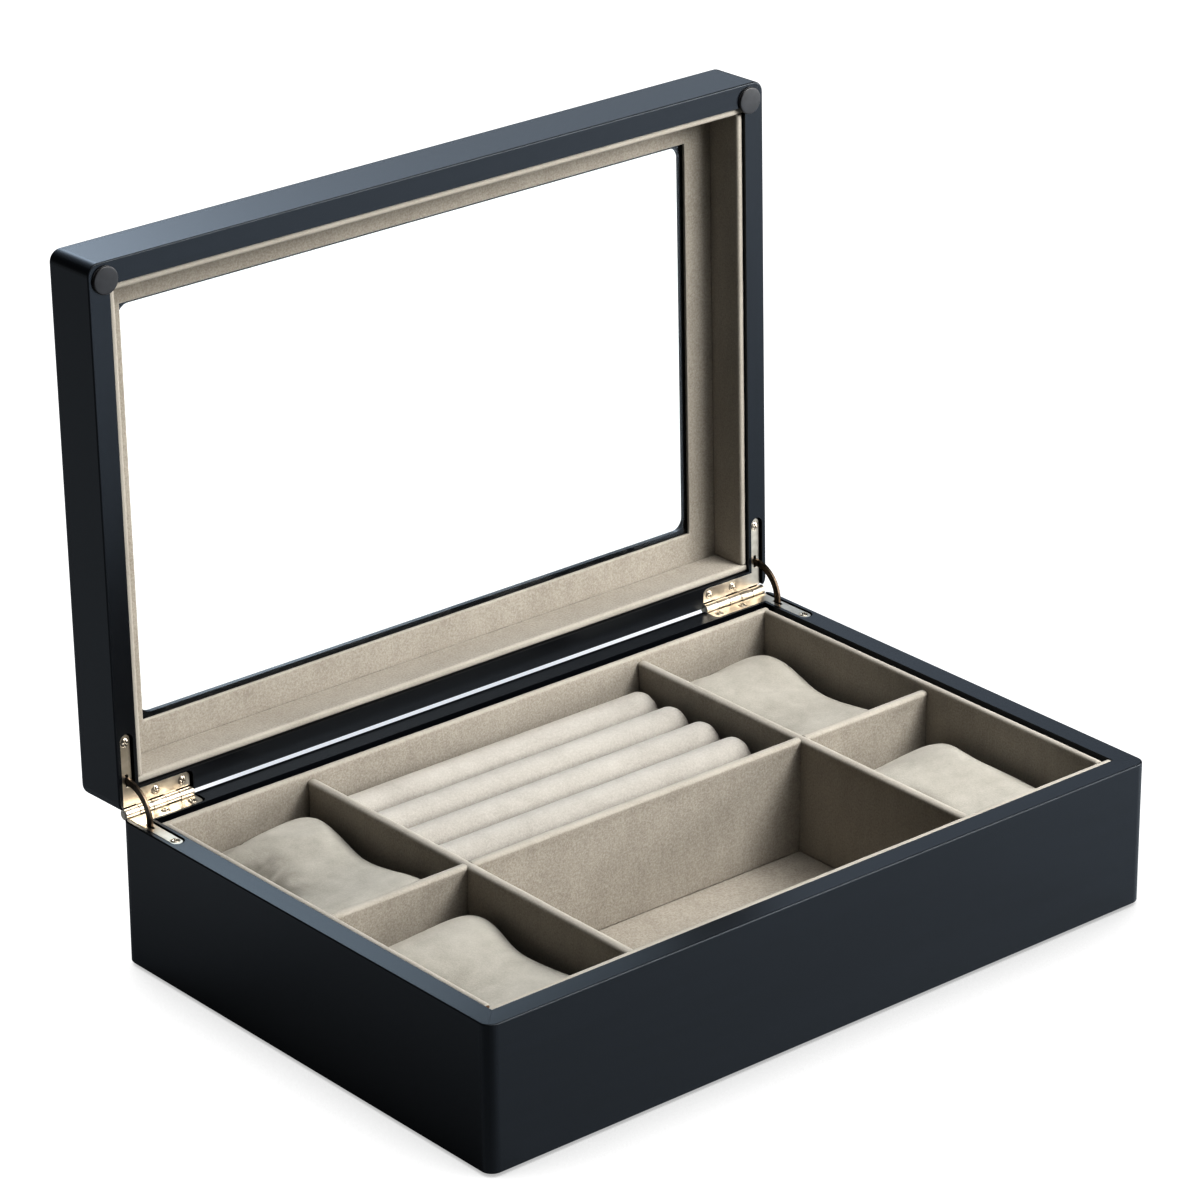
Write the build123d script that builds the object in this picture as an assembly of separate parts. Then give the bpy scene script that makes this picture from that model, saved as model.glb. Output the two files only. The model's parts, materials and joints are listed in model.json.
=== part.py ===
from build123d import *
from math import cos, degrees, radians, sin
import os

# Valet box: a lacquered wooden case with a glazed lid, suede linings, six compartments,
# five ring rolls and four watch pillows. Millimetres, +Z up, X along the long side and
# -Y towards the user. The origin is the middle of the case on the plane that its feet stand on.
# The lid is built closed and then turned open about the hinge pins.

# Wooden case
box_length = 324.0
box_depth = 216.0
base_height = 59.0
lid_height = 25.0
wall_thickness = 9.2
corner_radius = 4.8
eased_edge = 0.6
lid_top_radius = 2.0
panel_thickness = 5.0
panel_rebate = 4.6
top_thickness = 3.5
top_lip_sides = 16.8
top_lip_front = 17.3
glass_opening_radius = 5.0
open_angle = 91.3
shut_short_of_flat = 0.4

# Feet under the case and bumpers on the lid's rim
foot_height = 1.4
foot_radius = 6.0
foot_inset = 9.0
bumper_height = 1.3
bumper_radius = 6.0
bumper_inset = 6.3

# Glass
glass_thickness = 2.0
glass_lap = 9.0

# Suede-covered boards
board_thickness = 3.2
board_edge_radius = 1.3
floor_board = 2.8
lining_below_rim = 0.2
divider_below_rim = 2.8
right_board_gap = 2.5
left_board_end_gap = 1.3
back_board_gap = 2.7
side_compartment_length = 64.0
front_compartment_depth = 92.9
lap_clearance = 0.1
lid_board_below_rim = 1.2
ceiling_board = 1.5
ceiling_edge_radius = 0.5
ceiling_border_sides = 16.8
ceiling_border_front = 16.4

# Ring rolls on their raised tray
roll_count = 5
roll_top_below_rim = 12.9
roll_gap = 0.4
roll_end_gap = 0.7
roll_end_radius = 5.5
roll_seat_drop = 6.2
tray_gap = 0.3

# Watch pillows
pillow_gap_x = 0.8
pillow_gap_y = 0.9
pillow_seat_gap = 0.3
pillow_height = 36.5
pillow_crown = 3.0
pillow_side_radius = 9.0
pillow_shoulder = 12.0
pillow_waist_dip = 6.0
pillow_waist_draw = 4.7
pillow_end_turn = 3.5
pillow_end_inset = 2.2
pillow_tip_inset = 7.5

# Hinges: L-shaped leaves let into both rims, with a curved stay at each end
pin_behind_back = 0.6
pin_above_rim = 0.45
leaf_gap = 1.7
leaf_thickness = 1.2
leaf_length = 31.4
leaf_arm_width = 4.6
leaf_arm_reach = 31.7
leaf_arm_inset = 4.9
leaf_back_reach = 8.2
leaf_corner_radius = 2.2
leaf_outer_end = 2.0
knuckle_count = 5
knuckle_gap = 0.2
knuckle_clearance = 0.3
pin_radius = 1.1
pin_running_clearance = 0.05
mortise_margin = 0.7
screw_head_radius = 1.8
screw_head_height = 0.9
screw_shank_radius = 0.9
screw_length = 7.5
screw_recess_length = 2.3
screw_recess_width = 0.5
screw_recess_depth = 0.6
screw_clearance = 0.05
arm_screw_reach = 28.4
back_screw_reach = 5.3
back_screw_inset = 17.4
back_screw_pitch = 12.4

# Curved stays, concentric with the pins
stay_radius = 12.8
stay_width = 2.8
stay_thickness = 1.0
stay_slot_length = 5.2
stay_slot_width = 1.3
stay_hook_height = 2.2
stay_hook_angle = 5.0
stay_hook_drop = 9.5
stay_pocket_clearance = 0.5
stay_pocket_width = 1.6

# How far a cutting shape reaches past the face that it cuts
cut_past = 1.0

# Places worked out from the sizes above
half_length = box_length / 2
half_depth = box_depth / 2
inner_half_length = half_length - wall_thickness
inner_half_depth = half_depth - wall_thickness
underside_z = foot_height
rim_z = underside_z + base_height
panel_top = underside_z + panel_thickness
opening_half_length = inner_half_length - top_lip_sides
opening_half_depth = inner_half_depth - top_lip_front
glass_half_length = opening_half_length + glass_lap
glass_half_depth = opening_half_depth + glass_lap
window_half_length = inner_half_length - ceiling_border_sides
window_half_depth = inner_half_depth - ceiling_border_front
lid_top = rim_z + lid_height
top_frame_bottom = lid_top - top_thickness
glass_bottom = top_frame_bottom - glass_thickness
ceiling_bottom = glass_bottom - ceiling_board
floor_top = panel_top + floor_board
lining_top = rim_z - lining_below_rim
divider_top = rim_z - divider_below_rim

left_face = -inner_half_length + board_thickness
right_face = inner_half_length - right_board_gap - board_thickness
front_face = -inner_half_depth + board_thickness
back_face = inner_half_depth - back_board_gap - board_thickness
left_divider_x = left_face + side_compartment_length + board_thickness / 2
right_divider_x = right_face - side_compartment_length - board_thickness / 2
long_divider_y = front_face + front_compartment_depth + board_thickness / 2
middle_low_x = left_divider_x + board_thickness / 2
middle_high_x = right_divider_x - board_thickness / 2
back_low_y = long_divider_y + board_thickness / 2

pin_y = half_depth + pin_behind_back
pin_z = rim_z + pin_above_rim
pin_axis = Axis((0, pin_y, pin_z), (1, 0, 0))
knuckle_radius = leaf_gap / 2 + leaf_thickness
leaf_low_x = half_length - leaf_outer_end - leaf_length
arm_x = half_length - leaf_arm_inset
stay_angle = open_angle / 2
stay_half_sweep = stay_angle + stay_hook_drop + stay_hook_angle

roll_pitch = (back_face - back_low_y) / roll_count
roll_radius = (roll_pitch - roll_gap) / 2
roll_axis_z = rim_z - roll_top_below_rim - roll_radius
roll_seat_z = roll_axis_z - roll_seat_drop

os.makedirs("parts", exist_ok=True)


def block(x_low, x_high, y_low, y_high, z_low, z_high):
    """A box given by its faces."""
    size = (x_high - x_low, y_high - y_low, z_high - z_low)
    middle = ((x_low + x_high) / 2, (y_low + y_high) / 2, (z_low + z_high) / 2)
    return Pos(*middle) * Box(*size)


def opened(shape):
    """A lid piece, turned from the closed lid to the open one."""
    return shape.rotate(pin_axis, -open_angle)


def to_other_rim(shape):
    """The same hinge shape on the closed lid's side of the pin."""
    return shape.mirror(Plane.XY.offset(pin_z))


def both_sides(shape):
    """A hinge shape of the right side with its mirror image on the left."""
    return [shape, shape.mirror(Plane.YZ)]


def cut_all(shape, tools):
    for tool in tools:
        shape = shape - tool
    return shape


def save(node, shape):
    export_step(shape, "parts/" + node + ".step")


# Case walls: a frame with rounded corners, parted by mitres

def case_ring(z_low, z_high):
    """The rounded frame between two heights, before it is parted into walls."""
    outline = RectangleRounded(box_length, box_depth, corner_radius)
    ring = Pos(0, 0, z_low) * extrude(outline, z_high - z_low)
    hollow = block(
        -inner_half_length, inner_half_length,
        -inner_half_depth, inner_half_depth,
        z_low - cut_past, z_high + cut_past,
    )
    return ring - hollow


def eased(ring, z):
    """The ring with its outer edge at height z slightly rounded."""
    outer = [
        e for e in ring.edges()
        if e.bounding_box().size.Z < eased_edge and abs(e.center().Z - z) < eased_edge
        and (
            abs(e.center().X) > inner_half_length + eased_edge
            or abs(e.center().Y) > inner_half_depth + eased_edge
        )
    ]
    return fillet(outer, eased_edge)


def mitre_wedge(side, z_low, z_high):
    """The block that holds one wall, cut at 45 degrees at both ends."""
    a, b = half_length, half_depth
    c, d = inner_half_length, inner_half_depth
    corners = {
        "front": [(-a, -b), (a, -b), (c, -d), (-c, -d)],
        "back": [(-c, d), (c, d), (a, b), (-a, b)],
        "left": [(-a, -b), (-c, -d), (-c, d), (-a, b)],
        "right": [(a, -b), (a, b), (c, d), (c, -d)],
    }[side]
    outline = make_face(Polyline(*corners, close=True))
    return Pos(0, 0, z_low) * extrude(outline, z_high - z_low)


# Hinge shapes, all on the right side and on the base's side of the pin

def rounded_bar(x_middle, width, y_low, y_high, z_low, z_high):
    """A bar along Y with a round front end."""
    bar = block(x_middle - width / 2, x_middle + width / 2, y_low + width / 2, y_high, z_low, z_high)
    tip = Pos(x_middle, y_low + width / 2, (z_low + z_high) / 2) * Cylinder(width / 2, z_high - z_low)
    return bar + tip


def l_outline(margin, z_low, z_high, y_back):
    """The leaf's L shape grown by a margin, with a rounded inner end on the back arm."""
    arm = rounded_bar(
        arm_x, leaf_arm_width + 2 * margin,
        pin_y - leaf_arm_reach - margin, y_back, z_low, z_high,
    )
    back = block(
        leaf_low_x - margin, arm_x + leaf_arm_width / 2 + margin,
        pin_y - leaf_back_reach - margin, y_back, z_low, z_high,
    )
    corner = back.edges().filter_by(Axis.Z).sort_by(Axis.X)[:2].sort_by(Axis.Y)[:1]
    return arm + fillet(corner, leaf_corner_radius)


def knuckle_span(index):
    """The two X ends of a knuckle, counted from the inner end of the hinge."""
    pitch = leaf_length / knuckle_count
    low = leaf_low_x + index * pitch
    return low + knuckle_gap / 2, low + pitch - knuckle_gap / 2


def x_cylinder(radius, x_low, x_high, y, z):
    return Pos((x_low + x_high) / 2, y, z) * Rot(0, 90, 0) * Cylinder(radius, x_high - x_low)


def screw_places():
    """The three screws of a leaf: one on the side arm, two on the back arm."""
    first = half_length - back_screw_inset
    back_y = pin_y - back_screw_reach
    return [
        (arm_x, pin_y - arm_screw_reach),
        (first, back_y),
        (first - back_screw_pitch, back_y),
    ]


def leaf(own_knuckles):
    """A leaf on the base's side: a flat L with knuckles rolled round the pin."""
    z_high = pin_z - leaf_gap / 2
    z_low = z_high - leaf_thickness
    y_edge = pin_y - knuckle_radius - knuckle_clearance
    plate = l_outline(0, z_low, z_high, y_edge)
    for index in own_knuckles:
        x_low, x_high = knuckle_span(index)
        plate += block(x_low, x_high, y_edge - leaf_thickness, pin_y, z_low, z_high)
        plate += x_cylinder(knuckle_radius, x_low, x_high, pin_y, pin_z)
    bore = pin_radius + pin_running_clearance
    plate -= x_cylinder(bore, leaf_low_x - cut_past, half_length, pin_y, pin_z)
    slot_y = pin_y - stay_radius
    plate -= block(
        arm_x - stay_slot_width / 2, arm_x + stay_slot_width / 2,
        slot_y - stay_slot_length / 2, slot_y + stay_slot_length / 2,
        z_low - cut_past, z_high + cut_past,
    )
    for x, y in screw_places():
        plate -= Pos(x, y, z_high) * screw_blank(screw_clearance)
    return plate


def screw_blank(clearance):
    """A countersunk screw's outline with its head's face at the origin."""
    head_radius = screw_head_radius + clearance
    shank_radius = screw_shank_radius + clearance
    head = Pos(0, 0, -screw_head_height / 2) * Cone(shank_radius, head_radius, screw_head_height)
    shank_length = screw_length - screw_head_height + clearance
    shank = Pos(0, 0, -screw_head_height - shank_length / 2) * Cylinder(shank_radius, shank_length)
    if clearance:
        return head + shank + Pos(0, 0, clearance) * Cylinder(head_radius, 2 * clearance)
    return head + shank


def screw(x, y):
    """A screw in its place, with a cross recess in the head."""
    solid = screw_blank(0)
    for turn in (0, 90):
        recess = Box(screw_recess_length, screw_recess_width, 2 * screw_recess_depth)
        solid -= Rot(0, 0, turn) * recess
    return Pos(x, y, pin_z - leaf_gap / 2) * solid


def ring_sector(r_low, r_high, from_angle, to_angle, width):
    """A piece of flat ring about the pin; angles run from straight forward, up positive."""
    def at(radius, angle):
        return (-radius * cos(radians(angle)), radius * sin(radians(angle)))
    middle = (from_angle + to_angle) / 2
    outline = [
        ThreePointArc(at(r_low, from_angle), at(r_low, middle), at(r_low, to_angle)),
        Line(at(r_low, to_angle), at(r_high, to_angle)),
        ThreePointArc(at(r_high, to_angle), at(r_high, middle), at(r_high, from_angle)),
        Line(at(r_high, from_angle), at(r_low, from_angle)),
    ]
    plane = Plane(origin=(arm_x, pin_y, pin_z), x_dir=(0, 1, 0), z_dir=(1, 0, 0))
    return extrude(plane * make_face(outline), width / 2, both=True)


def stay():
    """The curved stay of the right hinge with the lid closed: equal arcs in both rims."""
    r_low = stay_radius - stay_width / 2
    r_high = stay_radius + stay_width / 2
    solid = ring_sector(r_low, r_high, -stay_half_sweep, stay_half_sweep, stay_thickness)
    hook_top = r_high + stay_hook_height
    for end in (-1, 1):
        angles = sorted((end * stay_half_sweep, end * (stay_half_sweep - stay_hook_angle)))
        solid += ring_sector(stay_radius, hook_top, angles[0], angles[1], stay_thickness)
    return solid


def hinge_recesses():
    """What the base's walls lose to one hinge: mortise, barrel relief, stay pocket, screw holes."""
    z_floor = pin_z - leaf_gap / 2 - leaf_thickness
    z_over = rim_z + cut_past
    y_over = half_depth + cut_past
    mortise = l_outline(mortise_margin, z_floor, z_over, y_over)
    relief = block(
        leaf_low_x - mortise_margin, half_length - leaf_outer_end + mortise_margin,
        pin_y - knuckle_radius - knuckle_clearance, y_over, z_floor - knuckle_clearance, z_over,
    )
    pocket = ring_sector(
        stay_radius - stay_width / 2 - stay_pocket_clearance,
        stay_radius + stay_width / 2 + stay_hook_height + stay_pocket_clearance,
        -stay_half_sweep - degrees(stay_pocket_clearance / stay_radius), 0, stay_pocket_width,
    )
    tools = [mortise, relief, pocket]
    for x, y in screw_places():
        tools.append(Pos(x, y, pin_z - leaf_gap / 2) * screw_blank(screw_clearance))
    return tools


base_recesses = [t for tool in hinge_recesses() for t in both_sides(tool)]
lid_recesses = [to_other_rim(t) for t in base_recesses]

# Base walls, with a rebate for the bottom panel
base_ring = eased(eased(case_ring(underside_z, rim_z), underside_z), rim_z)
panel_half_length = inner_half_length + panel_rebate
panel_half_depth = inner_half_depth + panel_rebate
bottom_panel = block(
    -panel_half_length, panel_half_length,
    -panel_half_depth, panel_half_depth, underside_z, panel_top,
)
base_ring -= bottom_panel
for side in ("front", "back", "left", "right"):
    wall = base_ring & mitre_wedge(side, underside_z, rim_z)
    if side != "front":
        wall = cut_all(wall, base_recesses)
    save("base_" + side + "_wall", wall)
save("base_bottom_panel", bottom_panel)

# Feet, as one group of four pads
foot = Cylinder(foot_radius, foot_height)
foot = fillet(foot.faces().sort_by(Axis.Z)[0].edges(), eased_edge)
feet = [
    Pos(x, y, foot_height / 2) * foot
    for x in (-half_length + foot_inset, half_length - foot_inset)
    for y in (-half_depth + foot_inset, half_depth - foot_inset)
]
save("base_feet", Compound(feet))

# Lid walls, top frame and glass
lid_ring = eased(case_ring(rim_z, top_frame_bottom), rim_z)
for side in ("front", "back", "left", "right"):
    wall = lid_ring & mitre_wedge(side, rim_z, top_frame_bottom)
    if side != "front":
        wall = cut_all(wall, lid_recesses)
    save("lid_" + side + "_wall", opened(wall))

top_frame = extrude(RectangleRounded(box_length, box_depth, corner_radius), top_thickness)
top_frame = fillet(top_frame.faces().sort_by(Axis.Z)[-1].edges(), lid_top_radius)
top_frame -= extrude(
    RectangleRounded(2 * opening_half_length, 2 * opening_half_depth, glass_opening_radius),
    top_thickness,
)
save("lid_top_frame", opened(Pos(0, 0, top_frame_bottom) * top_frame))

glass = block(
    -glass_half_length, glass_half_length, -glass_half_depth, glass_half_depth,
    glass_bottom, top_frame_bottom,
)
save("glass_pane", opened(glass))

bumpers = [
    Pos(x, -half_depth + bumper_inset, rim_z - bumper_height / 2)
    * fillet(
        Cylinder(bumper_radius, bumper_height).faces().sort_by(Axis.Z)[0].edges(),
        eased_edge,
    )
    for x in (-half_length + bumper_inset, half_length - bumper_inset)
]
save("lid_bumpers", opened(Compound(bumpers)))


# Lining boards

def board(x_low, x_high, y_low, y_high, z_low, z_high, rounded_low=False):
    """An upright suede-covered board whose free edge is rounded."""
    solid = block(x_low, x_high, y_low, y_high, z_low, z_high)
    along = Axis.X if x_high - x_low > y_high - y_low else Axis.Y
    face = solid.faces().sort_by(Axis.Z)[0 if rounded_low else -1]
    return fillet(face.edges().filter_by(along), board_edge_radius)


save("base_floor_lining", block(
    -inner_half_length, inner_half_length,
    -inner_half_depth, inner_half_depth, panel_top, floor_top,
))
save("base_front_lining", board(
    -inner_half_length, inner_half_length, -inner_half_depth, front_face, floor_top, lining_top,
))
save("base_left_lining", board(
    -inner_half_length, left_face,
    front_face + left_board_end_gap, back_face, floor_top, lining_top,
))
save("base_right_lining", board(
    right_face, right_face + board_thickness, front_face, back_face, floor_top, lining_top,
))
save("base_back_lining", board(
    -inner_half_length, right_face + board_thickness,
    back_face, back_face + board_thickness, floor_top, lining_top,
))

# Dividers, half-lapped where they cross
lap_z = (floor_top + divider_top) / 2
lap_half = board_thickness / 2 + lap_clearance
long_divider = board(
    left_face, right_face,
    long_divider_y - board_thickness / 2, back_low_y, floor_top, divider_top,
)
for node, x in (("left_cross_divider", left_divider_x), ("right_cross_divider", right_divider_x)):
    cross_divider = board(
        x - board_thickness / 2, x + board_thickness / 2,
        front_face, back_face, floor_top, divider_top,
    )
    cross_divider -= block(
        x - board_thickness, x + board_thickness,
        long_divider_y - lap_half, long_divider_y + lap_half, floor_top - cut_past, lap_z,
    )
    save(node, cross_divider)
    long_divider -= block(
        x - lap_half, x + lap_half,
        long_divider_y - board_thickness, long_divider_y + board_thickness,
        lap_z, divider_top + cut_past,
    )
save("long_divider", long_divider)

# Lid boards and the border round the glass
lid_board_low = rim_z + lid_board_below_rim
lid_inner_x = inner_half_length - board_thickness
lid_inner_y = inner_half_depth - board_thickness
for node, sign in (("lid_front_lining", -1), ("lid_back_lining", 1)):
    y_ends = sorted((sign * lid_inner_y, sign * inner_half_depth))
    save(node, opened(board(
        -inner_half_length, inner_half_length, y_ends[0], y_ends[1],
        lid_board_low, ceiling_bottom, rounded_low=True,
    )))
for node, sign in (("lid_left_lining", -1), ("lid_right_lining", 1)):
    x_ends = sorted((sign * lid_inner_x, sign * inner_half_length))
    save(node, opened(board(
        x_ends[0], x_ends[1], -lid_inner_y, lid_inner_y,
        lid_board_low, ceiling_bottom, rounded_low=True,
    )))
ceiling = block(
    -inner_half_length, inner_half_length,
    -inner_half_depth, inner_half_depth, ceiling_bottom, glass_bottom,
)
ceiling -= block(
    -window_half_length, window_half_length, -window_half_depth, window_half_depth,
    ceiling_bottom - cut_past, glass_bottom + cut_past,
)
window_edges = [
    e for e in ceiling.faces().sort_by(Axis.Z)[0].edges()
    if abs(e.center().X) < lid_inner_x and abs(e.center().Y) < lid_inner_y
]
save("lid_ceiling_lining", opened(fillet(window_edges, ceiling_edge_radius)))


# Ring rolls and their tray

def ring_roll(y_middle):
    """A stuffed roll: round on top, cut flat where it is fixed to the tray, with domed ends."""
    x_low = middle_low_x + roll_end_gap
    x_high = middle_high_x - roll_end_gap
    rod = x_cylinder(roll_radius, x_low, x_high, y_middle, roll_axis_z)
    rod = fillet(rod.edges().filter_by(GeomType.CIRCLE), roll_end_radius)
    return rod - block(
        x_low - cut_past, x_high + cut_past, y_middle - roll_pitch, y_middle + roll_pitch,
        roll_seat_z - roll_pitch, roll_seat_z,
    )


for index in range(roll_count):
    save("ring_roll_" + str(index + 1), ring_roll(back_low_y + (index + 0.5) * roll_pitch))
save("roll_tray", block(
    middle_low_x + tray_gap, middle_high_x - tray_gap,
    back_low_y + tray_gap, back_face - tray_gap, floor_top, roll_seat_z,
))


# Watch pillows

def pillow_section(length, height, y):
    """One slice of a pillow, standing on z = 0: flat below, round sides and a crowned top."""
    side = length / 2
    r = pillow_side_radius
    flat = side - r
    shoulder_z = height - pillow_crown
    near = r * (1 - cos(radians(45)))
    right = [
        (flat, 0), (side - near, near), (side, r),
        (side, shoulder_z - r), (side - near, shoulder_z - near), (flat, shoulder_z),
    ]
    left = [(-x, z) for x, z in right]
    outline = [
        Line(left[0], right[0]),
        ThreePointArc(*right[:3]),
        Line(right[2], right[3]),
        ThreePointArc(*right[3:]),
        ThreePointArc(right[5], (0, height), left[5]),
        ThreePointArc(left[5], left[4], left[3]),
        Line(left[3], left[2]),
        ThreePointArc(left[2], left[1], left[0]),
    ]
    plane = Plane(origin=(0, y, 0), x_dir=(1, 0, 0), z_dir=(0, -1, 0))
    return plane * make_face(outline)


def pillow(x_low, x_high, y_low, y_high):
    """A pillow with full ends and a drawn-in waist, where a watch strap goes round it."""
    length = x_high - x_low - 2 * pillow_gap_x
    half = (y_high - y_low) / 2 - pillow_gap_y
    shoulder = half - pillow_shoulder
    slices = [
        (length - 2 * pillow_tip_inset, pillow_height - pillow_tip_inset, half),
        (length - 2 * pillow_end_inset, pillow_height - pillow_end_inset, half - pillow_end_turn),
        (length, pillow_height, shoulder),
        (length - pillow_waist_draw, pillow_height - pillow_waist_dip / 2, shoulder / 2),
        (length - 2 * pillow_waist_draw, pillow_height - pillow_waist_dip, 0),
    ]
    slices += [(a, b, -y) for a, b, y in reversed(slices[:-1])]
    solid = loft([pillow_section(a, b, y) for a, b, y in slices], ruled=True)
    seat = floor_top + pillow_seat_gap
    return Pos((x_low + x_high) / 2, (y_low + y_high) / 2, seat) * solid


left_columns = (left_face, left_divider_x - board_thickness / 2)
right_columns = (right_divider_x + board_thickness / 2, right_face)
front_row = (front_face, long_divider_y - board_thickness / 2)
back_row = (back_low_y, back_face)
for row_name, row in (("front", front_row), ("back", back_row)):
    for column_name, column in (("left", left_columns), ("right", right_columns)):
        node = "watch_pillow_" + row_name + "_" + column_name
        save(node, pillow(column[0], column[1], row[0], row[1]))

# Hinges, pins, screws and stays
base_leaf = leaf([k for k in range(knuckle_count) if k % 2 == 0])
lid_leaf = to_other_rim(leaf([k for k in range(knuckle_count) if k % 2 == 1]))
pin = x_cylinder(pin_radius, leaf_low_x, half_length - leaf_outer_end, pin_y, pin_z)
half_open_stay = stay().rotate(pin_axis, -stay_angle)
for name, index in (("right", 0), ("left", 1)):
    save(name + "_hinge_base_leaf", both_sides(base_leaf)[index])
    save(name + "_hinge_lid_leaf", opened(both_sides(lid_leaf)[index]))
    save(name + "_hinge_pin", both_sides(pin)[index])
    save(name + "_stay", both_sides(half_open_stay)[index])
base_screws = [s for x, y in screw_places() for s in both_sides(screw(x, y))]
save("base_hinge_screws", Compound(base_screws))
save("lid_hinge_screws", opened(Compound([to_other_rim(s) for s in base_screws])))

# The lid stops on its bumpers a little short of flat
bumper_near_edge = pin_y + half_depth - bumper_inset - bumper_radius
bumper_gap = bumper_near_edge * sin(radians(shut_short_of_flat)) - bumper_height
print("lid turns from open to shut by", round(open_angle - shut_short_of_flat, 3), "degrees")
print("least gap under the bumpers when shut", round(bumper_gap, 3), "mm")
print("hinge pin at y", round(pin_y, 3), "z", round(pin_z, 3))
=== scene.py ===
# Valet box: a black lacquered case with a glazed lid standing open, suede-covered boards inside,
# five ring rolls, four watch pillows and two nickel hinges with curved stays.
# Metres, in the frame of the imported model: +Z up, X along the long side, -Y towards the user.

import json
import math

import bpy
import numpy as np
from mathutils import Matrix, Vector


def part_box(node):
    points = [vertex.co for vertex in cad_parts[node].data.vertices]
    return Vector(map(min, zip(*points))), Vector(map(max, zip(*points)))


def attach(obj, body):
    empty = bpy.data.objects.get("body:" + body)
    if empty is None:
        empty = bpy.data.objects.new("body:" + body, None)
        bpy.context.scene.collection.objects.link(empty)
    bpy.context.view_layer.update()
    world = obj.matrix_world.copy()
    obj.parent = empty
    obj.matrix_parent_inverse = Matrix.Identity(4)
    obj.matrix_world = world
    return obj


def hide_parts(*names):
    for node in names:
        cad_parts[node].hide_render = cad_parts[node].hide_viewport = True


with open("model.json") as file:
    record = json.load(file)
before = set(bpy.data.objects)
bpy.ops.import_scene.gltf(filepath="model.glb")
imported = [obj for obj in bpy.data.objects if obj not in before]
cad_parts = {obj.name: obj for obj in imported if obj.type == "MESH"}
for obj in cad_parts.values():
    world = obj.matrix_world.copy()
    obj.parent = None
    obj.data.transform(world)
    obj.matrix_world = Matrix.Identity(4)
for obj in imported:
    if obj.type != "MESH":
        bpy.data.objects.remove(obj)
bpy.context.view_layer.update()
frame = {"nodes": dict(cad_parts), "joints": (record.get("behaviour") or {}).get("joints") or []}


# Camera
# A long lens two metres away, looking down on the front left corner. MM is one millimetre, in
# which sizes are given from here on.

MM = 0.001

camera_place = Vector((-1157.2, -1340.7, 918.0)) * MM
camera_turn = math.radians(-40.331)
camera_down = math.radians(23.760)
camera_roll = math.radians(-0.2665)

lens = bpy.data.cameras.new("camera")
lens.lens = 156.804
lens.sensor_width = 36.0
lens.clip_start = 0.05
lens.clip_end = 40.0
camera = bpy.data.objects.new("camera", lens)
bpy.context.scene.collection.objects.link(camera)
camera.matrix_world = (
    Matrix.Translation(camera_place)
    @ Matrix.Rotation(camera_turn, 4, "Z")
    @ Matrix.Rotation(math.pi / 2 - camera_down, 4, "X")
    @ Matrix.Rotation(camera_roll, 4, "Z")
)
bpy.context.scene.camera = camera


# Floor and lights
# A white studio floor with painted shadows near the case. The key light is a large softbox high
# up in front and to the right, with a softer panel overhead; two large cool panels behind the
# box are what the lacquer mirrors.

def new_material(name):
    """An empty node material, ready for shaders."""
    material = bpy.data.materials.new(name)
    material.use_nodes = True
    material.node_tree.nodes.clear()
    return material


def add(material, kind, inputs=None, **settings):
    """Adds one shader node; an input takes a value or another node's output."""
    node = material.node_tree.nodes.new("ShaderNode" + kind)
    for key, value in settings.items():
        setattr(node, key, value)
    for key, value in (inputs or {}).items():
        if isinstance(value, bpy.types.NodeSocket):
            material.node_tree.links.new(value, node.inputs[key])
        else:
            node.inputs[key].default_value = value
    return node


def maths(material, operation, *values):
    """One Math node, as its output socket."""
    return add(material, "Math", dict(enumerate(values)), operation=operation).outputs["Value"]


def ranged(material, value, low, high, from_low=0.3, from_high=0.7):
    """A value spread from one range to another."""
    return add(material, "MapRange", {
        "Value": value, "From Min": from_low, "From Max": from_high, "To Min": low, "To Max": high,
    }).outputs["Result"]


def blended(material, factor, low, high):
    """A colour between two colours."""
    mix = add(material, "Mix", data_type="RGBA")
    for socket, value in ((mix.inputs[0], factor), (mix.inputs[6], low), (mix.inputs[7], high)):
        if isinstance(value, bpy.types.NodeSocket):
            material.node_tree.links.new(value, socket)
        else:
            socket.default_value = value
    return mix.outputs[2]


def finish_with(material, shader):
    """Joins a shader to the material's output."""
    add(material, "OutputMaterial", {"Surface": shader.outputs[0]})
    return material


def area_light(name, place, aim, width, height, watts, colour, roll=0.0):
    """A softbox at a place, turned to face the point that it is aimed at, and rolled."""
    light = bpy.data.lights.new(name, "AREA")
    light.shape = "RECTANGLE"
    light.size = width
    light.size_y = height
    light.energy = watts
    light.color = colour
    holder = bpy.data.objects.new(name, light)
    bpy.context.scene.collection.objects.link(holder)
    holder.location = place
    facing = (Vector(aim) - Vector(place)).to_track_quat("-Z", "Y").to_matrix()
    holder.rotation_euler = (facing @ Matrix.Rotation(math.radians(roll), 3, "Z")).to_euler()


floor_half = 6.0
contact_reach = 60 * MM
key_way = (0.56, -0.60, 0.57)
lid_shade_edges = (
    ("X", 0.0, 1.0, -0.068, -0.030), ("X", 1.0, 0.0, 0.12, 0.28),
    ("Y", 0.0, 1.0, 0.06, 0.11), ("Y", 1.0, 0.0, 0.19, 0.30),
)


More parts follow.
